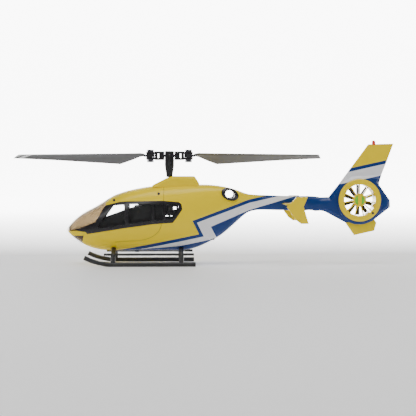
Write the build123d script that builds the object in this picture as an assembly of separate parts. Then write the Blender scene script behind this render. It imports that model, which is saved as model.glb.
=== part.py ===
from build123d import *
import math
import os

os.makedirs("parts", exist_ok=True)

# Frame: +X to the nose, +Y to port, +Z up, millimetres.
# The origin is under the mast axis, on the plane that the skids rest on.

# ---------------------------------------------------------------- driving dimensions
WALL = 1.2                  # moulded shell thickness
GLASS = 0.8                 # clear side panes, fitted behind their frames
SECTION_POINTS = 24         # points on each hull section

SHAFT_R = 1.0               # main shaft
RUN_FIT = 0.04              # radial clearance of a running fit
BLADE_Z = 87.2              # height of the blade plane
ROTOR_R = 123.6             # blade tip radius
HINGE_X = 15.3              # distance of each blade bolt from the mast
BALL_Z = 58.0               # centre of the swashplate ball
LINK_Y = 5.3                # distance of each pitch link from the mast
SERVO_R = 8.2               # distance of each servo link from the mast

GEAR_X = 17.6               # motor axis, ahead of the mast
GEAR_LOW = 28.5
GEAR_HIGH = 31.5
GEAR_R = 15.2
GEAR_TEETH = 60
PINION_R = 2.25
PINION_TEETH = 9
MOTOR_R = 4.25

FLOOR_Z = 18.0              # underside of the chassis floor
DECK_Z = 26.9               # underside of the lower bearing deck
TOP_DECK_Z = 47.4           # underside of the upper bearing deck
DECK_T = 1.6

SKID_R = 1.8
SKID_Y = 26.0
SKID_Z = 1.7                # a little less than the radius, which leaves a flat underneath
SKID_REAR = -20.4
SKID_FRONT = 66.9
LEG_R = 1.9
LEG_X = (44.4, -9.2)        # front and rear cross tubes
LEG_KNEE_Y = 23.4           # where each leg turns down to its skid
LEG_KNEE_Z = 8.6
LEG_ROOT_Y = 9.0            # where each leg meets the straight part inside the belly
LEG_ROOT_Z = 14.2
STEP_R = 0.95
STEP_Z = 9.3
STEP_Y = 22.0

DUCT_X = -152.9             # tail fan axis
DUCT_Z = 51.4
DUCT_R = 12.7               # air passage
DUCT_WALL_R = 14.2          # outside of the duct tube
FLANGE_R = 17.1
HOUSING_Y = 6.4             # half thickness of the fan housing
FAN_R = 12.2
FAN_BLADES = 10
STRUTS = 11
POD_R = 5.25
TAIL_MOTOR_R = 4.0
FIN_Y = 1.2                 # half thickness of the fin

# Hull stations: x, lowest z, highest z, half width, height of the widest line, superellipse power
STATIONS = [
    (82.0, 27.4, 28.8, 1.4, 28.0, 2.0),
    (81.0, 26.0, 30.4, 4.6, 28.0, 2.0),
    (79.0, 23.7, 33.0, 8.0, 27.8, 2.1),
    (76.0, 21.2, 36.1, 10.8, 27.6, 2.1),
    (72.0, 18.4, 39.4, 13.2, 27.5, 2.2),
    (67.0, 15.3, 42.6, 15.4, 27.6, 2.2),
    (61.0, 13.2, 45.8, 17.3, 28.2, 2.3),
    (54.0, 11.8, 49.9, 18.8, 29.2, 2.3),
    (46.0, 11.2, 54.8, 19.9, 30.4, 2.4),
    (37.0, 11.0, 58.3, 20.5, 31.6, 2.4),
    (26.0, 11.0, 61.0, 20.8, 33.0, 2.4),
    (13.0, 11.0, 63.0, 20.8, 34.5, 2.5),
    (0.0, 11.0, 63.9, 20.6, 36.0, 2.6),
    (-12.0, 11.3, 64.3, 20.1, 38.0, 2.7),
    (-23.0, 14.0, 64.3, 18.9, 41.0, 2.8),
    (-33.0, 18.6, 64.0, 17.3, 43.5, 2.9),
    (-42.0, 24.0, 62.9, 15.2, 46.0, 3.0),
    (-50.0, 30.6, 61.1, 12.8, 48.0, 2.9),
    (-57.0, 36.8, 58.7, 10.0, 48.6, 2.6),
    (-63.0, 41.4, 56.6, 7.6, 49.2, 2.4),
    (-70.0, 43.3, 55.8, 6.2, 49.5, 2.3),
    (-85.0, 43.3, 55.2, 5.5, 49.4, 2.3),
    (-104.0, 43.0, 54.7, 5.2, 49.0, 2.3),
    (-120.0, 42.6, 54.1, 5.1, 48.4, 2.3),
    (-127.0, 42.2, 53.9, 5.0, 48.1, 2.3),
]

# Side outlines in x, z
SIDE_WINDOW = [
    (74.0, 27.6), (66.2, 26.6), (65.2, 25.1), (35.6, 29.9), (12.4, 33.1), (-2.4, 34.1), (-5.0, 37.2),
    (-10.0, 44.7), (-9.3, 48.9), (-7.2, 50.5), (6.0, 51.5), (33.5, 51.0), (39.8, 50.5), (50.4, 47.8),
    (52.5, 44.7), (60.4, 31.9), (68.9, 30.2),
]
PANES = [
    [(44.9, 47.6), (35.8, 48.4), (35.4, 32.4), (57.6, 29.5)],
    [(32.4, 48.7), (32.2, 33.2), (13.7, 35.7), (13.7, 49.0)],
    [(12.4, 49.0), (12.4, 35.8), (4.8, 36.6), (4.8, 49.1)],
    [(3.2, 49.1), (3.2, 36.8), (-2.4, 37.1), (-7.6, 44.9), (-7.2, 47.6), (-5.6, 48.4)],
]
WINDSHIELD = [
    (44.6, 60.0), (44.6, 55.6), (50.8, 49.8), (50.4, 47.8), (52.5, 44.7), (60.4, 31.9), (68.9, 30.2),
    (74.0, 27.6), (90.0, 26.4), (90.0, 60.0),
]
CHIN = [(68.0, 23.9), (69.5, 17.8), (71.0, 8.0), (90.0, 8.0), (90.0, 22.9)]
HOUSING = [
    (-118.0, 53.6), (-128.5, 53.9), (-136.4, 63.8), (-152.0, 71.0), (-171.3, 71.6), (-169.4, 66.0),
    (-169.4, 63.8), (-178.2, 51.3), (-178.4, 45.7), (-168.0, 37.6), (-164.0, 34.4), (-142.0, 33.3),
    (-125.1, 42.3), (-118.0, 43.4),
]
FIN = [
    (-136.4, 63.8), (-160.6, 96.5), (-181.0, 97.0), (-176.2, 84.0), (-171.3, 71.6), (-168.0, 60.0),
    (-140.0, 58.0),
]
LOWER_FIN = [(-142.4, 36.0), (-142.4, 32.9), (-149.4, 22.9), (-165.7, 26.5), (-167.6, 33.0), (-164.0, 38.0)]
ENDPLATE = [
    (-99.3, 54.6), (-108.0, 54.6), (-104.9, 47.0), (-108.9, 33.6), (-102.9, 33.6), (-99.0, 36.5),
    (-91.6, 46.8),
]
TAILPLANE = [
    (-90.0, 48.6), (-92.0, 49.3), (-97.0, 49.4), (-104.0, 48.7), (-104.0, 48.4), (-97.0, 48.0), (-92.0, 48.0),
]
COWLING = [(15.0, 60.0), (13.6, 63.6), (2.8, 69.0), (-2.0, 70.8), (-20.0, 70.8), (-23.4, 65.8), (-24.8, 60.0)]
COWLING_HOLLOW = [(12.0, 58), (2.4, 67.5), (-1.8, 69.4), (-19.2, 69.4), (-22.0, 65.4), (-23.0, 58)]
EXHAUST_X = -48.1
EXHAUST_Z = 56.4
EXHAUST_TILT = 20.0         # front end up, degrees
EXHAUST_SIZE = (14.4, 9.6)
EXHAUST_HOLE = (7.7, 6.2)


# ---------------------------------------------------------------- helpers
def save(name, *solids):
    """Writes one node, from one solid or a group of separate ones."""
    shapes = [s for group in solids for s in group.solids()]
    node = shapes[0] if len(shapes) == 1 else Compound(children=shapes)
    export_step(node, f"parts/{name}.step")


def block(x1, x2, y1, y2, z1, z2):
    return Pos((x1 + x2) / 2, (y1 + y2) / 2, (z1 + z2) / 2) * Box(x2 - x1, y2 - y1, z2 - z1)


def rod_z(radius, low, high, x=0.0, y=0.0):
    return Pos(x, y, low) * extrude(Circle(radius), amount=high - low)


def rod_x(radius, x1, x2, y=0.0, z=0.0):
    return Pos(x1, y, z) * Rot(0, 90, 0) * extrude(Circle(radius), amount=x2 - x1)


def rod_y(radius, y1, y2, x=0.0, z=0.0):
    return Pos(x, y1, z) * Rot(-90, 0, 0) * extrude(Circle(radius), amount=y2 - y1)


def side_face(points, y, corner=0.0):
    """Face from an outline in x, z, standing at y and facing +Y."""
    face = make_face(Polyline(*[(x, -z) for x, z in points], close=True))
    if corner:
        face = fillet(face.vertices(), corner)
    return Plane(origin=(0, y, 0), x_dir=(1, 0, 0), z_dir=(0, 1, 0)) * face


def side_plate(points, y1, y2, corner=0.0):
    return extrude(side_face(points, y1, corner), amount=y2 - y1)


def oval_prism(width, height, y1, y2):
    """Oval along Y at the port exhaust, tilted with it."""
    oval = Rot(0, 0, -EXHAUST_TILT) * Ellipse(width / 2, height / 2)
    plane = Plane(origin=(EXHAUST_X, y1, EXHAUST_Z), x_dir=(1, 0, 0), z_dir=(0, 1, 0))
    return extrude(plane * oval, amount=y2 - y1)


def tube_along(radius, path):
    start = Plane(origin=path @ 0, z_dir=path % 0)
    return sweep(start * Circle(radius), path=path)


def other_side(shape):
    return mirror(shape, about=Plane.XZ)


def hull_section(station, inset):
    """Section across the hull: two half superellipses that meet at the widest line."""
    x, low, high, half_width, widest, power = station
    points = []
    for i in range(SECTION_POINTS):
        angle = math.pi / 2 + 2 * math.pi * i / SECTION_POINTS
        c = math.cos(angle)
        s = math.sin(angle)
        rise = high - widest if s > 0 else widest - low
        y = (half_width - inset) * math.copysign(abs(c) ** (2 / power), c)
        z = widest + (rise - inset) * math.copysign(abs(s) ** (2 / power), s)
        points.append((x, y, z))
    return make_face(Spline(*points, periodic=True))


def hull(inset, stations):
    return loft([hull_section(station, inset) for station in stations])


def skin_y(x, z, inset=0.0):
    """Half width of the hull at a place on its side."""
    pairs = zip(STATIONS, STATIONS[1:])
    fore, aft = next((a, b) for a, b in pairs if b[0] <= x <= a[0])
    t = (fore[0] - x) / (fore[0] - aft[0])
    low, high, half_width, widest, power = [f + t * (a - f) for f, a in zip(fore[1:], aft[1:])]
    rise = (high - widest if z > widest else widest - low) - inset
    return (half_width - inset) * (1 - (abs(z - widest) / rise) ** power) ** (1 / power)


# ---------------------------------------------------------------- hull and glazing
outer = hull(0.0, STATIONS)
inner = hull(WALL, STATIONS[2:]) & block(-119, 100, -60, 60, 0, 120)
shell = outer - inner
port_side = block(-200, 100, 0.0, 60, 0, 120)
port_shell = shell & port_side


def cross_tube(x):
    """Bow from skid to skid, passing through the belly; its ends are coped onto the skids."""
    half = [(SKID_Y - 0.3, 2.4), (LEG_KNEE_Y, LEG_KNEE_Z), (LEG_ROOT_Y, LEG_ROOT_Z)]
    points = [(x, -y, z) for y, z in half] + [(x, y, z) for y, z in reversed(half)]
    bow = tube_along(LEG_R, FilletPolyline(*points, radius=3.5))
    for y in (SKID_Y, -SKID_Y):
        bow -= rod_x(SKID_R, x - 5, x + 5, y, SKID_Z)
    for y in (STEP_Y, -STEP_Y):
        bow -= rod_x(STEP_R, x - 5, x + 5, y, STEP_Z)
    return bow


def leg_holes():
    """Clearance holes for both cross tubes in the port half of the belly."""
    holes = []
    for x in LEG_X:
        points = [(x, 3, LEG_ROOT_Z), (x, LEG_ROOT_Y, LEG_ROOT_Z), (x, LEG_KNEE_Y, LEG_KNEE_Z)]
        holes.append(tube_along(LEG_R + 0.15, FilletPolyline(*points, radius=3.5)))
    return holes


def tail_housing():
    """Port half of the fan housing and fin, with bevelled sides, before the duct bore."""
    body = side_plate(HOUSING, 0.0, 1.6)
    body += extrude(side_face(HOUSING, 1.6), amount=3.2, taper=40)
    drum = Plane(origin=(DUCT_X, 0, DUCT_Z), x_dir=(1, 0, 0), z_dir=(0, 1, 0)) * Circle(19.6)
    body += extrude(drum, amount=4.4)
    rim = Plane(origin=(DUCT_X, 4.4, DUCT_Z), x_dir=(1, 0, 0), z_dir=(0, 1, 0)) * Circle(19.6)
    body += extrude(rim, amount=HOUSING_Y - 4.4, taper=42)
    fin = side_plate(FIN, 0.0, FIN_Y - 0.5)
    fin += extrude(side_face(FIN, FIN_Y - 0.5), amount=0.5, taper=50)
    return body + fin


BATTERY_X = (-36.0, 6.0)
BATTERY_Y = 8.6
BATTERY_Z = (19.7, 26.4)
SWITCH_X = 26.0
battery_way = block(-56, 8, -BATTERY_Y - 0.25, BATTERY_Y + 0.25, BATTERY_Z[0] - 0.2, BATTERY_Z[1] + 0.2)
tailplane_body = side_plate(TAILPLANE, -29.4, 29.4)
mast_hole = rod_z(6.4, 56, 80)
housing = tail_housing()
duct_bore = rod_y(DUCT_WALL_R, -10, 10, DUCT_X, DUCT_Z)
window_cut = side_plate(SIDE_WINDOW, 2.0, 40.0)
windshield_cut = side_plate(WINDSHIELD, -40.0, 40.0)
chin_cut = side_plate(CHIN, -40.0, 40.0)
exhaust_cut = oval_prism(*EXHAUST_SIZE, 4.0, 30.0)

SCREW_PLACES = [(8.6, 57.0), (44.0, 51.8)]
SCREW_R = 1.0


def shell_screw(x, z):
    """Small screw in a recess of the shell, pointing across the body."""
    y = skin_y(x, z)
    head = rod_y(SCREW_R, y - 1.6, y - 0.5, x, z)
    slot = block(x - 0.7, x + 0.7, y - 0.9, y, z - 0.15, z + 0.15)
    shank = rod_y(0.6, y - 6.0, y - 1.6, x, z)
    return head - slot + shank


port = port_shell - window_cut - windshield_cut - chin_cut - exhaust_cut - battery_way - mast_hole
for hole in leg_holes():
    port -= hole
port -= block(SWITCH_X - 4, SWITCH_X + 4, -1.7, 1.7, 8, 14)
for place in SCREW_PLACES:
    port -= rod_y(SCREW_R + 0.05, skin_y(*place) - 3, skin_y(*place) + 3, place[0], place[1])
duct_screw = rod_y(1.0, 5.0, 7.9, DUCT_X - 10.4, DUCT_Z - 10.4)
port = port + housing - duct_bore - tailplane_body - duct_screw
save("fuselage_left", port)
save("fuselage_right", other_side(port))

save("windshield", shell & windshield_cut)
save("chin_window", shell & chin_cut)

frame_blank = port_shell & window_cut
window_frame = frame_blank
for pane in PANES:
    window_frame -= side_plate(pane, 2.0, 40.0, corner=1.2)
save("side_window_frame_left", window_frame)
save("side_window_frame_right", other_side(window_frame))

pane_inner = hull(WALL + GLASS, STATIONS[2:])
side_glass = (inner - pane_inner) & window_cut & port_side
save("side_glass_left", side_glass)
save("side_glass_right", other_side(side_glass))

proud = hull(-0.7, STATIONS[2:])
exhaust = (proud - inner) & oval_prism(*EXHAUST_SIZE, 4.0, 30.0)
exhaust -= oval_prism(*EXHAUST_HOLE, 2.0, 30.0)
tilt = math.radians(EXHAUST_TILT)
exhaust_screws = []
for reach in (-5.5, 5.5):
    x = EXHAUST_X + reach * math.cos(tilt)
    z = EXHAUST_Z + reach * math.sin(tilt)
    y = skin_y(x, z)
    head = rod_y(0.9, y - 2.0, y + 1.1, x, z)
    exhaust -= head
    exhaust_screws.append(head - block(x - 0.15, x + 0.15, y + 0.7, y + 2, z - 0.6, z + 0.6))
save("exhaust_ring_left", exhaust)
save("exhaust_ring_right", other_side(exhaust))

screws = [shell_screw(*place) for place in SCREW_PLACES] + exhaust_screws
screws += [other_side(s) for s in screws]
screws.append(duct_screw)
save("shell_screws", *screws)

# ---------------------------------------------------------------- mast fairing
cowl_half = side_plate(COWLING, 0.0, 7.6, corner=1.6)
cowl_half += extrude(side_face(COWLING, 7.6, corner=1.6), amount=2.6, taper=38)
cowl = cowl_half + other_side(cowl_half)
cowl = cowl - side_plate(COWLING_HOLLOW, -7.0, 7.0) - outer - other_side(outer) - mast_hole
for x in (-18.6, -16.4, -14.2):
    cowl -= block(x - 0.5, x + 0.5, -4.0, 4.0, 69.0, 72.0)
save("mast_cowling", cowl)

# ---------------------------------------------------------------- tail
duct = rod_y(DUCT_WALL_R, -HOUSING_Y, HOUSING_Y, DUCT_X, DUCT_Z)
flange = rod_y(FLANGE_R, HOUSING_Y, HOUSING_Y + 0.6, DUCT_X, DUCT_Z)
flange += Pos(DUCT_X, HOUSING_Y + 0.6, DUCT_Z) * Rot(-90, 0, 0) * Cone(FLANGE_R, FLANGE_R - 0.8, 0.8, align=(
    Align.CENTER, Align.CENTER, Align.MIN))
duct = duct + flange + rod_y(2.0, HOUSING_Y, 7.9, DUCT_X - 10.4, DUCT_Z - 10.4)
duct -= rod_y(DUCT_R, -10, 10, DUCT_X, DUCT_Z)
pod = rod_y(POD_R, 1.2, 6.6, DUCT_X, DUCT_Z)
for i in range(STRUTS):
    angle = 360 * i / STRUTS + 8
    strut = block(3.0, DUCT_R + 0.5, 3.4, 5.4, -0.35, 0.35)
    duct += Pos(DUCT_X, 0, DUCT_Z) * Rot(0, angle, 0) * strut
duct += pod
duct += block(DUCT_X - 1.4, DUCT_X + 1.4, 6.6, 7.5, DUCT_Z - POD_R, DUCT_Z + POD_R)
duct -= rod_y(TAIL_MOTOR_R, 0, 6.6, DUCT_X, DUCT_Z)
duct -= duct_screw
save("tail_duct_ring", duct)

trim = rod_y(FLANGE_R, -HOUSING_Y - 1.2, -HOUSING_Y, DUCT_X, DUCT_Z)
save("tail_duct_trim", trim - rod_y(DUCT_R, -10, 0, DUCT_X, DUCT_Z))

tail_motor = rod_y(TAIL_MOTOR_R, -2.2, 5.8, DUCT_X, DUCT_Z) - rod_y(0.5 + RUN_FIT, -3, 2.6, DUCT_X, DUCT_Z)
save("tail_motor", tail_motor)
save("tail_motor_cap", rod_y(TAIL_MOTOR_R, 5.8, 6.6, DUCT_X, DUCT_Z))

fan = rod_y(3.4, -6.0, -2.6, DUCT_X, DUCT_Z)
for i in range(FAN_BLADES):
    blade = Rot(50, 0, 0) * block(2.8, FAN_R, -0.35, 0.35, -1.7, 1.7)
    fan += Pos(DUCT_X, -4.3, DUCT_Z) * Rot(0, 360 * i / FAN_BLADES + 18, 0) * blade
fan -= rod_y(0.5, -7, 0, DUCT_X, DUCT_Z)
save("tail_fan", fan)
save("tail_fan_shaft", rod_y(0.5, -6.0, 2.0, DUCT_X, DUCT_Z))

save("tailplane", tailplane_body)
endplate = side_plate(ENDPLATE, 29.4, 30.6)
save("endplate_left", endplate)
save("endplate_right", other_side(endplate))

both_housings = housing + other_side(housing)
lower_half = side_plate(LOWER_FIN, 0.0, 0.7) + extrude(side_face(LOWER_FIN, 0.7), amount=0.5, taper=50)
save("lower_fin", (lower_half + other_side(lower_half)) - both_housings)

beacon = rod_z(1.5, 96.0, 98.2, x=-165.0) + Pos(-165.0, 0, 98.2) * Sphere(1.5)
save("beacon_light", beacon - both_housings)

# ---------------------------------------------------------------- landing gear


def skid(y):
    """Skid tube with its front end turned up and a narrow flat underneath."""
    path = FilletPolyline((SKID_REAR, y, SKID_Z), (55.0, y, SKID_Z), (SKID_FRONT, y, SKID_Z + 5.5), radius=50)
    return tube_along(SKID_R, path) & block(-40, 90, y - 5, y + 5, 0, 20)


def saddle(x, y):
    """Clamp block that holds a cross tube up against the chassis floor."""
    body = block(x - 3.2, x + 3.2, y - 1.5, y + 1.5, 13.4, FLOOR_Z)
    return body - rod_y(LEG_R, y - 5, y + 5, x, LEG_ROOT_Z)


for name, x in zip(("front_cross_tube", "rear_cross_tube"), LEG_X):
    save(name, cross_tube(x))
save("skid_left", skid(SKID_Y))
save("skid_right", skid(-SKID_Y))
save("step_bars", *[rod_x(STEP_R, -19.2, 51.7, y, STEP_Z) for y in (STEP_Y, -STEP_Y)])
save("skid_saddles", *[saddle(x, y) for x in LEG_X for y in (-5, 5)])

# ---------------------------------------------------------------- chassis and fixed equipment
deck_low = block(-14, 24, -11, 11, DECK_Z, DECK_Z + DECK_T) - rod_z(2.5, 20, 30)
deck_top = block(-15, 25, -12, 12, TOP_DECK_Z, TOP_DECK_Z + DECK_T) - rod_z(2.5, 40, 50)
chassis = block(-24, 56, -9, 9, FLOOR_Z, FLOOR_Z + DECK_T)
for y in (-10.4, 10.4):
    chassis += block(-14, 24, y - 1.4, y + 1.4, FLOOR_Z, DECK_Z)
    web = block(-7, 28, y - 0.6, y + 0.6, GEAR_HIGH + 1, TOP_DECK_Z)
    web -= block(-5.4, -3.0, y - 1, y + 1, 43.5, 46.5)
    chassis += web - block(-2.2, 3.6, y - 1, y + 1, 38.0, 39.6)
chassis = chassis + deck_low + deck_top
for x, y in ((-13.4, 10.4), (-13.4, -10.4), (22.6, 9.6), (22.6, -9.6)):
    chassis += rod_z(1.2, DECK_Z, TOP_DECK_Z + DECK_T, x, y)
save("chassis_frame", chassis)

bearing = rod_z(2.5, DECK_Z, DECK_Z + DECK_T) - rod_z(SHAFT_R + RUN_FIT, 20, 30)
save("mast_bearings", bearing, Pos(0, 0, TOP_DECK_Z - DECK_Z) * bearing)

motor = rod_z(MOTOR_R, GEAR_HIGH + 0.5, TOP_DECK_Z, GEAR_X) - rod_z(0.5 + RUN_FIT, 20, 36, GEAR_X)
save("main_motor", motor)

board = block(28, 54, -8.5, 8.5, 19.6, 20.8)
for x1, x2, y1, y2, top in ((30, 37, -5, 2, 22.2), (40, 44, -7, -3, 22.6), (46, 52, -4, 4, 23.0)):
    board += block(x1, x2, y1, y2, 20.8, top)
save("control_board", board)
cover_profile = [(57.5, 23.6), (57.5, 31.0), (50.8, 38.4), (36.5, 43.6), (27.0, 46.6), (27.0, 23.6)]
cover_inside = [(56.3, 20), (56.3, 30.5), (50.1, 37.3), (36.1, 42.4), (26.0, 45.4), (26.0, 20)]
cover = side_plate(cover_profile, -9, 9) - side_plate(cover_inside, -7.8, 7.8)
for y in (-8.4, 8.4):
    cover += block(27.0, 54.0, y - 0.6, y + 0.6, 20.8, 23.6)
cover -= block(20, 60, -8.5, 8.5, 18, 21)
save("receiver_cover", cover)

servo = block(SERVO_R + 0.55, 11.6, -5.5, 5.5, TOP_DECK_Z + DECK_T, 57.4)
save("elevator_servo", servo)
save("aileron_servo", Rot(0, 0, 90) * servo)

# ---------------------------------------------------------------- battery and switch
pack = block(BATTERY_X[0], BATTERY_X[1], -BATTERY_Y, BATTERY_Y, BATTERY_Z[0], BATTERY_Z[1])
save("battery_pack", chamfer(pack.edges().filter_by(Axis.X), 1.0))
plug = outer & block(-56, BATTERY_X[0], -BATTERY_Y, BATTERY_Y, BATTERY_Z[0], BATTERY_Z[1])
save("battery_cap", plug)

tab = block(SWITCH_X - 1.5, SWITCH_X + 1.5, -1.3, 1.3, 9.8, 14.0)
save("power_switch", tab + block(SWITCH_X - 4.5, SWITCH_X + 4.5, -2.6, 2.6, 13.0, 14.0))

# ---------------------------------------------------------------- mast and drive


def gear_disc(radius, teeth, low, high, depth):
    """Disc with straight V notches between its teeth."""
    points = []
    for i in range(teeth):
        for j, r in ((-0.3, radius), (0.1, radius), (0.4, radius - depth)):
            angle = 2 * math.pi * (i + j) / teeth
            points.append((r * math.cos(angle), r * math.sin(angle)))
    return Pos(0, 0, low) * extrude(make_face(Polyline(*points, close=True)), amount=high - low)


CROSS_SCREW_Z = 81.4
shaft = rod_z(SHAFT_R, DECK_Z + 0.1, 85.6)
shaft -= rod_y(0.55, -5, 5, 0, CROSS_SCREW_Z)
save("main_shaft", shaft)
gear = gear_disc(GEAR_R, GEAR_TEETH, GEAR_LOW, GEAR_HIGH, 1.0) + rod_z(3.2, GEAR_HIGH, GEAR_HIGH + 3)
for i in range(5):
    gear -= rod_z(2.8, 20, 40, 8.6 * math.cos(2 * math.pi * i / 5), 8.6 * math.sin(2 * math.pi * i / 5))
save("main_gear", gear - rod_z(SHAFT_R, 20, 40))
collar_low = TOP_DECK_Z + DECK_T + 0.05
save("shaft_collar", rod_z(2.0, collar_low, collar_low + 1.5) - rod_z(SHAFT_R, 40, 60))
pinion = Pos(GEAR_X, 0, 0) * Rot(0, 0, 20) * gear_disc(PINION_R, PINION_TEETH, GEAR_LOW, GEAR_HIGH, 0.7)
save("motor_pinion", pinion + rod_z(0.5, GEAR_HIGH, 35, GEAR_X))

# ---------------------------------------------------------------- rotor head
HUB_X = 3.7
HUB_Y = 3.0
HUB_TOP = 91.0
HUB_LOW = 70.0
SKIRT_TOP = 79.0

skirt_top = Pos(0, 0, SKIRT_TOP) * Rectangle(2 * HUB_X, 2 * HUB_Y)
skirt = loft([Pos(0, 0, HUB_LOW) * Rectangle(4.7, 4.7), skirt_top])
hub_block = block(-HUB_X, HUB_X, -HUB_Y, HUB_Y, SKIRT_TOP, HUB_TOP)
hub_block = chamfer(hub_block.faces().sort_by(Axis.Z)[-1].edges(), 0.8)
hub = skirt + hub_block - block(-0.75, 0.75, -5, 5, 72.8, 76.8) - rod_z(SHAFT_R, 60, 85.6)
hub -= rod_x(SHAFT_R + RUN_FIT, -5, 5, 0, BLADE_Z)
hub -= rod_y(0.55, -5, 5, 0, CROSS_SCREW_Z)
save("rotor_hub", hub)
hub_screw = rod_y(0.55, -2.6, HUB_Y, 0, CROSS_SCREW_Z)
save("hub_screw", hub_screw + rod_y(1.3, HUB_Y, HUB_Y + 0.8, 0, CROSS_SCREW_Z))

GRIP_IN = 4.1
GRIP_OUT = 11.8
GRIP_GAP = 8.4              # inner end of the opening through each grip, where the spindle stops
GRIP_Y = 3.0
FORK_GAP = 1.3              # half height of the space for the blade root
FORK_T = 1.75
FORK_R = 3.6
save("feathering_spindle", rod_x(SHAFT_R, -GRIP_GAP, GRIP_GAP, 0, BLADE_Z))


def blade_grip():
    """Front grip: an open frame on the spindle with a fork for the blade root."""
    grip = block(GRIP_IN, GRIP_OUT, -GRIP_Y, GRIP_Y, BLADE_Z - 3.5, BLADE_Z + 3.5)
    grip = chamfer(grip.edges().filter_by(Axis.X), 0.7)
    grip -= block(GRIP_GAP, GRIP_GAP + 1.0, -5, 5, BLADE_Z - 1.7, BLADE_Z + 1.7)
    for side in (-1, 1):
        near = BLADE_Z + side * FORK_GAP
        far = BLADE_Z + side * (FORK_GAP + FORK_T)
        low, high = sorted((near, far))
        grip += rod_z(FORK_R, low, high, HINGE_X) + block(GRIP_OUT - 1, HINGE_X, -GRIP_Y, GRIP_Y, low, high)
    return grip - rod_x(SHAFT_R, 0, GRIP_GAP, 0, BLADE_Z) - rod_z(1.0, 70, 95, HINGE_X)


grip_front = blade_grip()
save("blade_grip_front", grip_front)
save("blade_grip_rear", Rot(0, 0, 180) * grip_front)

bolt = rod_z(1.0, BLADE_Z - 4.4, BLADE_Z + FORK_GAP + FORK_T, HINGE_X)
bolt_head = rod_z(2.75, BLADE_Z + FORK_GAP + FORK_T, 92.0, HINGE_X) - Pos(HINGE_X, 0, 91.0) * extrude(
    RegularPolygon(1.3, 6), amount=2)
nut = Pos(HINGE_X, 0, 81.9) * extrude(RegularPolygon(2.7, 6), amount=BLADE_Z - FORK_GAP - FORK_T - 81.9)
nut -= rod_z(1.0, 80, 95, HINGE_X)
save("blade_bolts", bolt + bolt_head, Rot(0, 0, 180) * (bolt + bolt_head))
save("blade_nuts", nut, Rot(0, 0, 180) * nut)

yoke_half = Part()
for side in (-1, 1):
    bar = block(0.8, 7.0, LINK_Y - 0.7, LINK_Y + 0.7, BLADE_Z - 1.0, BLADE_Z + 1.0)
    bar += block(5.0, 7.0, GRIP_Y, LINK_Y, BLADE_Z - 1.0, BLADE_Z + 1.0)
    yoke_half += bar if side > 0 else other_side(bar)
yoke = yoke_half + Rot(0, 0, 180) * yoke_half
for side in (-1, 1):
    yoke += rod_x(0.5, -1.2, 1.2, side * LINK_Y, BLADE_Z)
save("pitch_yoke", yoke)


def pitch_link():
    """Port link, from the long eye on the swashplate pin up to the eye on the yoke pin."""
    link = block(-0.6, 0.6, LINK_Y - 0.4, LINK_Y + 0.4, BALL_Z + 2.0, BLADE_Z - 0.9)
    link += rod_x(1.2, -0.6, 0.6, LINK_Y, BLADE_Z)
    eye = Pos(0, LINK_Y - 0.4, BALL_Z) * Rot(-90, 0, 0) * extrude(
        Rot(0, 0, 90) * (SlotOverall(5.0, 2.6) - SlotOverall(3.8, 1.4)), amount=0.8)
    return link + eye - rod_x(0.55, -2, 2, LINK_Y, BLADE_Z)


link_left = pitch_link()
save("pitch_link_left", link_left)
save("pitch_link_right", Rot(0, 0, 180) * link_left)

# ---------------------------------------------------------------- swashplate
BALL_R = 2.3
ball = Pos(0, 0, BALL_Z) * Sphere(BALL_R) - rod_z(SHAFT_R + 0.35, 50, 65)
save("swash_ball", ball)
lower = rod_z(7.0, 51.6, 52.8) + rod_z(3.6, 52.8, BALL_Z - 1.0)
for turn in (0, 90):
    arm = block(6.5, 7.0, -1.2, 1.2, 52.8, BALL_Z + 0.6) + rod_x(0.4, 6.9, SERVO_R + 0.4, 0, BALL_Z)
    lower += Rot(0, 0, turn) * arm
lower -= rod_z(2.4, 50, 55.5)
lower -= Pos(0, 0, BALL_Z) * Sphere(BALL_R + 0.06)
lower -= rod_z(2.0, 50, 60)
save("swash_lower", lower)
upper = rod_z(4.3, BALL_Z - 0.85, BALL_Z + 0.85) - Pos(0, 0, BALL_Z) * Sphere(BALL_R + 0.12)
for turn in (90, 270):
    upper += Rot(0, 0, turn) * rod_x(0.4, 4.2, 6.1, 0, BALL_Z)
save("swash_upper", upper)

servo_link = block(SERVO_R - 0.3, SERVO_R + 0.5, -1.5, 1.5, 51.6, BALL_Z + 1.4)
servo_link -= Pos(SERVO_R - 1, 0, BALL_Z) * Rot(0, 90, 0) * extrude(SlotOverall(1.5, 1.2), amount=3)
save("elevator_link", servo_link)
save("aileron_link", Rot(0, 0, 90) * servo_link)

# ---------------------------------------------------------------- main blades
# Blade stations: distance from the mast, widths ahead of and behind the pitch axis, thickness, pitch
BLADE_STATIONS = [
    (19.8, 2.3, 2.3, 1.9, 5.0), (23.6, 4.6, 3.2, 1.9, 19.0), (30.0, 4.8, 9.6, 1.8, 23.0),
    (38.8, 4.8, 17.0, 1.7, 24.0), (60.0, 4.6, 15.6, 1.6, 21.0), (90.0, 4.2, 12.8, 1.3, 17.0),
    (ROTOR_R, 3.8, 9.8, 1.0, 13.0),
]
TIP_RAKE = [
    (ROTOR_R - 4.0, -3.8), (ROTOR_R, 9.8), (ROTOR_R + 5, 20.0), (ROTOR_R + 5, -20.0), (ROTOR_R - 9, -20.0),
]
# Blade profile: share of the chord, then the top and bottom as shares of the thickness
BLADE_PROFILE = [(0.0, 0.0, 0.0), (0.12, 0.55, 0.25), (0.35, 0.85, 0.15), (0.7, 0.6, 0.05), (1.0, 0.06, 0.0)]


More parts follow.
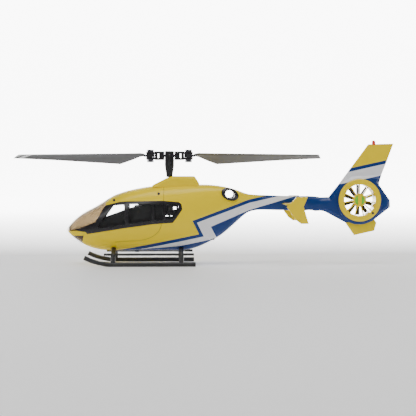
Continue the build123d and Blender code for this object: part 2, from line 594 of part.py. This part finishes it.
def blade_section(reach, ahead, behind, thickness, pitch):
    """Cambered section; the front blade leads with its starboard edge, which is the high one."""
    chord = ahead + behind
    upper_line = [(share * chord - ahead, top * thickness) for share, top, bottom in BLADE_PROFILE]
    lower_line = [(share * chord - ahead, -bottom * thickness) for share, top, bottom in BLADE_PROFILE]
    outline = Spline(*upper_line) + Spline(*lower_line) + Line(upper_line[-1], lower_line[-1])
    plane = Plane(origin=(reach, 0, BLADE_Z), x_dir=(0, 1, 0), z_dir=(1, 0, 0))
    return plane * (Rot(0, 0, -pitch) * make_face(outline))


def main_blade():
    blade = loft([blade_section(*station) for station in BLADE_STATIONS], ruled=True)
    blade -= Pos(0, 0, 70) * extrude(make_face(Polyline(*TIP_RAKE, close=True)), amount=30)
    root = rod_z(3.3, BLADE_Z - FORK_GAP + 0.05, BLADE_Z + FORK_GAP - 0.05, HINGE_X)
    root += block(HINGE_X, 20.6, -2.4, 2.4, BLADE_Z - 0.9, BLADE_Z + 0.9)
    return blade + root - rod_z(1.0 + RUN_FIT, 70, 95, HINGE_X)


blade_front = main_blade()
save("main_blade_front", blade_front)
save("main_blade_rear", Rot(0, 0, 180) * blade_front)
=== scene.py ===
import math

import bpy
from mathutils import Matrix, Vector

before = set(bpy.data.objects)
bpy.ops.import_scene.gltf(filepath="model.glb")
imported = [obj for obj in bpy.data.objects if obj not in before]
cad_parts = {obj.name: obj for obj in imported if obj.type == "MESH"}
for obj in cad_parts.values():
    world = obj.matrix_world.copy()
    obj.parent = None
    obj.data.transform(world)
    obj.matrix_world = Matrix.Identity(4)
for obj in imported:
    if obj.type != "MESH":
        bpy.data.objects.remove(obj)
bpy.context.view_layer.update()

# Colours, scene linear
YELLOW = (0.98, 0.72, 0.0)
BLUE = (0.002, 0.036, 0.190)
WHITE = (0.93, 0.93, 0.96)
BLACK = (0.012, 0.011, 0.013)
GREY = (0.085, 0.085, 0.085)
STEEL = (0.62, 0.62, 0.60)

# Paint, mm; x is forward and z up
STRIPE = 2.6                # width of the blue pinstripe
EDGE = 0.12                 # softness of a painted edge
LINE_HALF = 0.22            # half width of an engraved line
LINE_EDGE = 0.2             # its softness
SEAM_X = 4.6                # roof seam, and where it starts
SEAM_LOW = 51.4
DOOR_CENTRE = (27.0, 33.2)  # lower rear corner of the door: a quarter of an ellipse
DOOR_RADII = (20.4, 13.2)
DOOR_MEAN_RADIUS = 15.0
SILL_Z = 20.0               # straight lower edge of the door
SILL_SLOPE = 0.07
SILL_END = 43.0
BLADE_ROOT_END = 20.9       # black root of a blade
TIP_START = 108.2           # white tip, with a bare sliver across it
TIP_SLIVER = 114.0
TIP_SLIVER_HALF = 1.5
TIP_SLANT = 0.82

# Stage and studio, metres and watts
FLOOR_GLOW = 0.15           # emission of the paper under the model and in front
WALL_GLOW = 8.0             # and behind it
STAGE_FRONT = 2.5
STAGE_FLAT = 1.6            # how far the flat paper reaches behind the model
STAGE_BEND = 0.9            # radius of the bend behind it
STAGE_TOP = 3.5
STAGE_HALF_WIDTH = 4.0
BEND_STEPS = 12
GLOW_START = 0.1            # the glow begins here behind the model, and is full a metre further
GLOW_FADE = (-3.0, 2.8)     # slope and offset that fade it with height, from 0.6 to 0.93 m
WORLD_STRENGTH = 0.30
LENS = 101.25
SENSOR = 36.0
CAMERA_PLACE = (0.0027, 0.942, 0.0788)
CAMERA_TURN = math.radians(2.05)
LIGHTS = [                  # name, place, target, width and height, power
    ("key", (0.45, 0.75, 0.85), (-0.02, 0.0, 0.05), (0.7, 0.35), 2.9),
    ("top", (-0.10, 0.10, 1.10), (-0.03, 0.0, 0.05), (0.9, 0.5), 6.0),
    ("side", (-0.9, 0.8, 0.5), (-0.05, 0.0, 0.05), (0.5, 0.5), 1.0),
]


# ---------------------------------------------------------------- node helpers
class Sheet:
    """A material being drawn: short calls for the nodes that it needs.

    in_mm adds axes, the object coordinates that painted outlines use.
    """

    def __init__(self, name, in_mm=False):
        self.material = bpy.data.materials.new(name)
        self.material.use_nodes = True
        self.nodes = self.material.node_tree.nodes
        self.links = self.material.node_tree.links
        self.shader = self.nodes["Principled BSDF"]
        self.place = self.nodes.new("ShaderNodeTexCoord").outputs["Object"]
        self.axes = self.axes_mm() if in_mm else None

    def join(self, source, target):
        if hasattr(source, "is_linked"):
            self.links.new(source, target)
        else:
            target.default_value = source

    def maths(self, operation, a, b=0.0, c=0.0, clamp=False):
        node = self.nodes.new("ShaderNodeMath")
        node.operation = operation
        node.use_clamp = clamp
        for value, socket in zip((a, b, c), node.inputs):
            self.join(value, socket)
        return node.outputs[0]

    def axes_mm(self):
        """Object coordinates in millimetres, one output for each axis."""
        scale = self.nodes.new("ShaderNodeVectorMath")
        scale.operation = "SCALE"
        scale.inputs["Scale"].default_value = 1000.0
        self.links.new(self.place, scale.inputs[0])
        split = self.nodes.new("ShaderNodeSeparateXYZ")
        self.links.new(scale.outputs[0], split.inputs[0])
        return split.outputs

    def noise(self, scale, detail=3.0, stretch=(1.0, 1.0, 1.0)):
        mapping = self.nodes.new("ShaderNodeMapping")
        mapping.inputs["Scale"].default_value = stretch
        self.links.new(self.place, mapping.inputs["Vector"])
        node = self.nodes.new("ShaderNodeTexNoise")
        node.inputs["Scale"].default_value = scale
        node.inputs["Detail"].default_value = detail
        self.links.new(mapping.outputs[0], node.inputs["Vector"])
        return node.outputs["Fac"]

    def between(self, value, low, high):
        """Spreads a 0..1 value over low..high."""
        return self.maths("MULTIPLY_ADD", value, high - low, low)

    def mix(self, factor, first, second):
        node = self.nodes.new("ShaderNodeMix")
        node.data_type = "RGBA"
        self.join(factor, node.inputs["Factor"])
        for value, socket in ((first, node.inputs[6]), (second, node.inputs[7])):
            self.join((*value, 1.0) if isinstance(value, tuple) else value, socket)
        return node.outputs[2]

    def bump(self, height, strength, distance):
        node = self.nodes.new("ShaderNodeBump")
        node.inputs["Strength"].default_value = strength
        node.inputs["Distance"].default_value = distance
        self.links.new(height, node.inputs["Height"])
        self.links.new(node.outputs[0], self.shader.inputs["Normal"])

    def half_plane(self, p, q, inside):
        """Signed distance from the line p-q in x, z; positive on the side of the point inside."""
        x, _, z = self.axes
        length = math.dist(p, q)
        a = -(q[1] - p[1]) / length
        b = (q[0] - p[0]) / length
        c = -(a * p[0] + b * p[1])
        sign = 1.0 if a * inside[0] + b * inside[1] + c > 0 else -1.0
        return self.maths("MULTIPLY_ADD", z, b * sign, self.maths("MULTIPLY_ADD", x, a * sign, c * sign))

    def below(self, p, q):
        return self.half_plane(p, q, (p[0], p[1] - 100))

    def above(self, p, q):
        return self.half_plane(p, q, (p[0], p[1] + 100))

    def aft(self, p, q):
        return self.half_plane(p, q, (p[0] - 100, p[1]))

    def every(self, first, *others):
        for other in others:
            first = self.maths("MINIMUM", first, other)
        return first

    def some(self, first, *others):
        for other in others:
            first = self.maths("MAXIMUM", first, other)
        return first

    def mask(self, distance, softness=EDGE):
        return self.maths("MULTIPLY_ADD", distance, 1.0 / softness, 0.5, clamp=True)


# ---------------------------------------------------------------- materials
def panel_lines(s):
    """Fine engraved lines: the roof seam and the curved lower edge of the door."""
    x, _, z = s.axes
    centre_x, centre_z = DOOR_CENTRE
    off_seam = s.maths("ABSOLUTE", s.maths("SUBTRACT", x, SEAM_X))
    seam = s.every(s.maths("SUBTRACT", LINE_HALF, off_seam), s.maths("SUBTRACT", z, SEAM_LOW))
    across = s.maths("DIVIDE", s.maths("SUBTRACT", x, centre_x), DOOR_RADII[0])
    up = s.maths("DIVIDE", s.maths("SUBTRACT", z, centre_z), DOOR_RADII[1])
    squares = s.maths("ADD", s.maths("MULTIPLY", across, across), s.maths("MULTIPLY", up, up))
    off_arc = s.maths("ABSOLUTE", s.maths("SUBTRACT", s.maths("SQRT", squares), 1.0))
    corner = s.every(
        s.maths("SUBTRACT", LINE_HALF, s.maths("MULTIPLY", off_arc, DOOR_MEAN_RADIUS)),
        s.maths("SUBTRACT", centre_x, x),
        s.maths("SUBTRACT", centre_z, z),
    )
    drop = s.maths("MULTIPLY_ADD", x, SILL_SLOPE, -SILL_SLOPE * centre_x)
    off_sill = s.maths("ABSOLUTE", s.maths("ADD", s.maths("SUBTRACT", z, SILL_Z), drop))
    straight = s.every(
        s.maths("SUBTRACT", LINE_HALF, off_sill),
        s.maths("SUBTRACT", x, centre_x),
        s.maths("SUBTRACT", SILL_END, x),
    )
    return s.mask(s.some(seam, corner, straight), LINE_EDGE)


def gloss_finish(s, colour, lines=None):
    """Moulded gloss plastic: faint orange peel, patchy sheen and a thin clear coat."""
    tone = s.noise(38.0, 4.0)
    s.join(s.mix(s.between(tone, 0.0, 0.04), colour, (0.30, 0.22, 0.10)), s.shader.inputs["Base Color"])
    s.join(s.between(s.noise(90.0, 5.0), 0.14, 0.26), s.shader.inputs["Roughness"])
    s.shader.inputs["Specular IOR Level"].default_value = 0.22
    s.shader.inputs["Coat Weight"].default_value = 0.08
    s.shader.inputs["Coat Roughness"].default_value = 0.08
    height = s.maths("MULTIPLY", s.noise(420.0, 2.0), 0.05)
    if lines is not None:
        height = s.maths("SUBTRACT", height, lines)
    s.bump(height, 0.5, 0.0002)


def livery():
    """Yellow body with the blue and white zig-zag along the side and up the fin."""
    s = Sheet("livery", in_mm=True)
    field = s.some(
        s.below((39.0, 12.2), (-23.3, 24.9)),
        s.every(
            s.aft((-23.3, 24.9), (-18.0, 35.6)),
            s.below((-18.0, 35.6), (-63.3, 52.0)),
            s.below((-63.3, 52.0), (-79.7, 55.6)),
        ),
    )
    lower = s.some(
        s.below((25.0, 12.5), (-8.3, 15.5)),
        s.below((-8.3, 15.5), (-35.1, 20.8)),
        s.every(
            s.aft((-37.0, 22.7), (-32.7, 30.8)),
            s.below((-32.7, 30.8), (-63.3, 43.4)),
            s.below((-63.3, 43.4), (-101.5, 54.8)),
        ),
    )
    band = s.every(s.maths("SUBTRACT", field, STRIPE), s.maths("MULTIPLY", lower, -1.0))
    tail = s.aft((-128.0, 0.0), (-128.0, 1.0))
    fin_white = s.every(tail, s.above((-136.4, 64.2), (-171.3, 71.4)))
    fin_blue = s.every(tail, s.above((-144.3, 74.0), (-175.4, 81.0)))
    fin_yellow = s.every(tail, s.above((-146.6, 77.3), (-176.2, 83.8)))
    colour = s.mix(s.mask(field), YELLOW, BLUE)
    colour = s.mix(s.mask(band), colour, WHITE)
    colour = s.mix(s.mask(fin_white), colour, WHITE)
    colour = s.mix(s.mask(fin_blue), colour, BLUE)
    colour = s.mix(s.mask(fin_yellow), colour, YELLOW)
    lines = panel_lines(s)
    gloss_finish(s, s.mix(s.maths("MULTIPLY", lines, 0.55), colour, (0.10, 0.06, 0.01)), lines)
    return s.material


def gloss(name, colour):
    s = Sheet(name)
    gloss_finish(s, colour)
    return s.material


def satin(name, colour, low=0.28, high=0.5, grain=300.0):
    """Satin or matte moulded plastic with a fine grain and paler rubbed patches."""
    s = Sheet(name)
    rub = s.maths("POWER", s.noise(55.0, 6.0), 3.0)
    paler = tuple(min(1.0, c * 2.2 + 0.02) for c in colour)
    s.join(s.mix(rub, colour, paler), s.shader.inputs["Base Color"])
    s.join(s.between(s.noise(120.0, 4.0), low, high), s.shader.inputs["Roughness"])
    s.bump(s.noise(grain, 3.0), 0.25, 0.0002)
    return s.material


def glazing(name, tint, frit=False):
    """Clear moulded plastic with faint haze and rubbed streaks; frit adds the black border."""
    s = Sheet(name, in_mm=frit)
    colour = s.mix(s.between(s.noise(25.0, 3.0), 0.0, 0.12), tint, tuple(c * 0.8 for c in tint))
    clear = 1.0
    if frit:
        border = s.every(s.below((75.5, 27.6), (62.0, 32.6)), s.above((60.0, 25.5), (80.0, 25.5)))
        edge = s.mask(border, 0.3)
        colour = s.mix(edge, colour, BLACK)
        clear = s.maths("SUBTRACT", 1.0, edge)
    s.join(colour, s.shader.inputs["Base Color"])
    s.join(clear, s.shader.inputs["Transmission Weight"])
    s.join(s.between(s.noise(60.0, 6.0), 0.01, 0.07), s.shader.inputs["Roughness"])
    s.shader.inputs["IOR"].default_value = 1.25
    s.bump(s.noise(35.0, 2.0), 0.03, 0.0002)
    return s.material


def rotor_blade():
    """Flexible grey plastic with streaks along the span, a black root and a white tip painted on top."""
    s = Sheet("rotor_blade", in_mm=True)
    x, y, _ = s.axes
    streaks = s.noise(60.0, 5.0, stretch=(0.12, 1.0, 1.0))
    base = s.mix(s.between(streaks, 0.0, 0.4), GREY, (0.13, 0.13, 0.125))
    span = s.maths("ABSOLUTE", x)
    base = s.mix(s.mask(s.maths("SUBTRACT", BLADE_ROOT_END, span)), base, BLACK)
    chordwise = s.maths("MULTIPLY", y, s.maths("SIGN", x))
    slant = s.maths("SUBTRACT", span, s.maths("MULTIPLY", chordwise, TIP_SLANT))
    split = s.nodes.new("ShaderNodeSeparateXYZ")
    s.links.new(s.nodes.new("ShaderNodeTexCoord").outputs["Normal"], split.inputs[0])
    on_top = s.maths("GREATER_THAN", split.outputs[2], 0.0)
    off_sliver = s.maths("ABSOLUTE", s.maths("SUBTRACT", slant, TIP_SLIVER))
    sliver = s.maths("SUBTRACT", TIP_SLIVER_HALF, off_sliver)
    paint = s.every(s.maths("SUBTRACT", slant, TIP_START), s.maths("MULTIPLY", sliver, -1.0))
    painted = s.maths("MULTIPLY", s.mask(paint), on_top)
    s.join(s.mix(painted, base, (0.75, 0.75, 0.74)), s.shader.inputs["Base Color"])
    s.join(s.between(streaks, 0.42, 0.62), s.shader.inputs["Roughness"])
    s.bump(streaks, 0.15, 0.0002)
    return s.material


def metal(name, colour, low=0.18, high=0.42):
    s = Sheet(name)
    s.join(s.mix(s.noise(80.0, 5.0), colour, tuple(c * 0.72 for c in colour)), s.shader.inputs["Base Color"])
    s.shader.inputs["Metallic"].default_value = 1.0
    s.join(s.between(s.noise(150.0, 4.0, stretch=(1.0, 1.0, 0.1)), low, high), s.shader.inputs["Roughness"])
    s.bump(s.noise(500.0, 2.0), 0.1, 0.0001)
    return s.material


def lamp_red():
    s = satin("lamp_red", (0.85, 0.03, 0.02), 0.1, 0.2)
    shader = s.node_tree.nodes["Principled BSDF"]
    shader.inputs["Subsurface Weight"].default_value = 0.3
    shader.inputs["Subsurface Radius"].default_value = (0.002, 0.0005, 0.0005)
    shader.inputs["Coat Weight"].default_value = 0.5
    return s


def circuit_board():
    """Green board with a pattern of paler tracks and small dark parts."""
    s = Sheet("circuit_board")
    cells = s.nodes.new("ShaderNodeTexVoronoi")
    cells.distance = "MANHATTAN"
    cells.inputs["Scale"].default_value = 420.0
    s.links.new(s.place, cells.inputs["Vector"])
    tracks = s.maths("GREATER_THAN", cells.outputs["Distance"], 0.42)
    s.join(s.mix(tracks, (0.01, 0.07, 0.025), (0.20, 0.18, 0.05)), s.shader.inputs["Base Color"])
    s.join(s.between(s.noise(100.0), 0.3, 0.5), s.shader.inputs["Roughness"])
    s.bump(tracks, 0.2, 0.0001)
    return s.material


def smooth_group():
    """Geometry nodes: weld, then smooth shading that stays sharp where faces meet at over 28 degrees."""
    group = bpy.data.node_groups.new("smooth_by_angle", "GeometryNodeTree")
    group.interface.new_socket("Geometry", in_out="INPUT", socket_type="NodeSocketGeometry")
    group.interface.new_socket("Geometry", in_out="OUTPUT", socket_type="NodeSocketGeometry")
    new = group.nodes.new
    source = new("NodeGroupInput")
    target = new("NodeGroupOutput")
    strip = new("GeometryNodeRemoveAttribute")
    strip.inputs["Name"].default_value = "custom_normal"
    weld = new("GeometryNodeMergeByDistance")
    weld.inputs["Distance"].default_value = 1e-6
    angle = new("GeometryNodeInputMeshEdgeAngle")
    small = new("FunctionNodeCompare")
    small.operation = "LESS_THAN"
    small.inputs["B"].default_value = math.radians(28)
    edges = new("GeometryNodeSetShadeSmooth")
    edges.domain = "EDGE"
    faces = new("GeometryNodeSetShadeSmooth")
    faces.domain = "FACE"
    link = group.links.new
    link(source.outputs[0], strip.inputs["Geometry"])
    link(strip.outputs["Geometry"], weld.inputs["Geometry"])
    link(weld.outputs["Geometry"], edges.inputs["Geometry"])
    link(angle.outputs["Unsigned Angle"], small.inputs["A"])
    link(small.outputs["Result"], edges.inputs["Shade Smooth"])
    link(edges.outputs["Geometry"], faces.inputs["Geometry"])
    link(faces.outputs["Geometry"], target.inputs[0])
    return group


yellow_gloss = gloss("yellow_gloss", YELLOW)
black_satin = satin("black_satin", (0.009, 0.008, 0.010), 0.14, 0.34, 500.0)
black_matte = satin("black_matte", (0.012, 0.012, 0.013), 0.26, 0.5)
steel = metal("steel", STEEL)
dark_steel = metal("dark_steel", (0.10, 0.10, 0.11))

FINISHES = [
    (livery(), ["fuselage_left", "fuselage_right", "battery_cap"]),
    (yellow_gloss, ["mast_cowling", "tail_duct_ring", "tail_duct_trim", "tailplane", "endplate_left",
                    "endplate_right", "lower_fin"]),
    (glazing("tinted_glazing", (0.27, 0.225, 0.16), frit=True), ["windshield", "chin_window"]),
    (glazing("side_glazing", (0.93, 0.94, 0.95)), ["side_glass_left", "side_glass_right"]),
    (black_satin, ["side_window_frame_left", "side_window_frame_right", "exhaust_ring_left",
                   "exhaust_ring_right", "rotor_hub", "blade_grip_front", "blade_grip_rear", "pitch_yoke"]),
    (black_matte, ["front_cross_tube", "rear_cross_tube", "skid_left", "skid_right", "step_bars",
                   "skid_saddles", "chassis_frame", "receiver_cover", "power_switch", "pitch_link_left",
                   "pitch_link_right", "swash_lower", "swash_upper", "elevator_link", "aileron_link",
                   "tail_fan", "elevator_servo", "aileron_servo"]),
    (rotor_blade(), ["main_blade_front", "main_blade_rear"]),
    (steel, ["main_shaft", "feathering_spindle", "tail_fan_shaft", "tail_motor", "main_motor",
             "mast_bearings", "shaft_collar"]),
    (dark_steel, ["shell_screws", "hub_screw", "blade_bolts", "blade_nuts"]),
    (metal("brass", (0.60, 0.42, 0.16)), ["motor_pinion", "swash_ball"]),
    (satin("white_nylon", (0.70, 0.69, 0.65)), ["main_gear"]),
    (satin("green_cap", (0.16, 0.62, 0.02), 0.3, 0.45), ["tail_motor_cap"]),
    (lamp_red(), ["beacon_light"]),
    (circuit_board(), ["control_board"]),
    (satin("battery_sleeve", (0.03, 0.03, 0.04), 0.2, 0.4), ["battery_pack"]),
]
smoothing = smooth_group()
for material, names in FINISHES:
    for name in names:
        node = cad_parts[name]
        if not node.material_slots:
            node.data.materials.append(None)
        for material_slot in node.material_slots:
            material_slot.link = "OBJECT"
            material_slot.material = material
        modifier = node.modifiers.new("smooth", "NODES")
        modifier.node_group = smoothing


# ---------------------------------------------------------------- stage, light and camera
def mesh_object(name, points, faces):
    mesh = bpy.data.meshes.new(name)
    mesh.from_pydata(points, [], faces)
    mesh.update()
    thing = bpy.data.objects.new(name, mesh)
    bpy.context.scene.collection.objects.link(thing)
    return thing


def sweep_stage():
    """White paper sweep: flat under the model, then curved up behind it."""
    profile = [(STAGE_FRONT, 0.0), (-STAGE_FLAT, 0.0)]
    for step in range(1, BEND_STEPS + 1):
        turn = math.radians(90 * step / BEND_STEPS)
        profile.append((-STAGE_FLAT - STAGE_BEND * math.sin(turn), STAGE_BEND * (1 - math.cos(turn))))
    profile.append((-STAGE_FLAT - STAGE_BEND, STAGE_TOP))
    points = [(x, y, z) for y, z in profile for x in (-STAGE_HALF_WIDTH, STAGE_HALF_WIDTH)]
    faces = [(2 * i, 2 * i + 1, 2 * i + 3, 2 * i + 2) for i in range(len(profile) - 1)]
    stage = mesh_object("paper_sweep", points, faces)
    for polygon in stage.data.polygons:
        polygon.use_smooth = True
    s = Sheet("white_paper")
    s.join(s.mix(s.noise(6.0), (0.80, 0.80, 0.80), (0.77, 0.77, 0.77)), s.shader.inputs["Base Color"])
    s.shader.inputs["Roughness"].default_value = 0.7
    s.shader.inputs["Emission Color"].default_value = (1.0, 1.0, 1.0, 1.0)
    split = s.nodes.new("ShaderNodeSeparateXYZ")
    s.links.new(s.place, split.inputs[0])
    behind = s.maths("MULTIPLY_ADD", split.outputs[1], -1.0, -GLOW_START, clamp=True)
    low = s.maths("MULTIPLY_ADD", split.outputs[2], *GLOW_FADE, clamp=True)
    glow = s.between(s.maths("MULTIPLY", behind, low), FLOOR_GLOW, WALL_GLOW)
    s.join(glow, s.shader.inputs["Emission Strength"])
    stage.data.materials.append(s.material)


def area_light(name, place, target, size, energy):
    light = bpy.data.lights.new(name, "AREA")
    light.shape = "RECTANGLE"
    light.size, light.size_y = size
    light.energy = energy
    thing = bpy.data.objects.new(name, light)
    thing.location = place
    thing.rotation_euler = (Vector(target) - Vector(place)).to_track_quat("-Z", "Y").to_euler()
    bpy.context.scene.collection.objects.link(thing)


def camera():
    """Portrait lens level with the rotor, a metre off to port."""
    lens = bpy.data.cameras.new("camera")
    lens.lens = LENS
    lens.sensor_width = SENSOR
    lens.clip_start = 0.01
    thing = bpy.data.objects.new("camera", lens)
    aside = math.sin(CAMERA_TURN)
    ahead = Vector((-aside, -math.cos(CAMERA_TURN), -aside))
    thing.location = CAMERA_PLACE
    thing.rotation_euler = ahead.to_track_quat("-Z", "Y").to_euler()
    bpy.context.scene.collection.objects.link(thing)
    bpy.context.scene.camera = thing


def surroundings():
    world = bpy.data.worlds.new("studio")
    world.use_nodes = True
    background = world.node_tree.nodes["Background"]
    background.inputs["Color"].default_value = (1.0, 1.0, 1.0, 1.0)
    background.inputs["Strength"].default_value = WORLD_STRENGTH
    bpy.context.scene.world = world


sweep_stage()
for light_row in LIGHTS:
    area_light(*light_row)
surroundings()
camera()
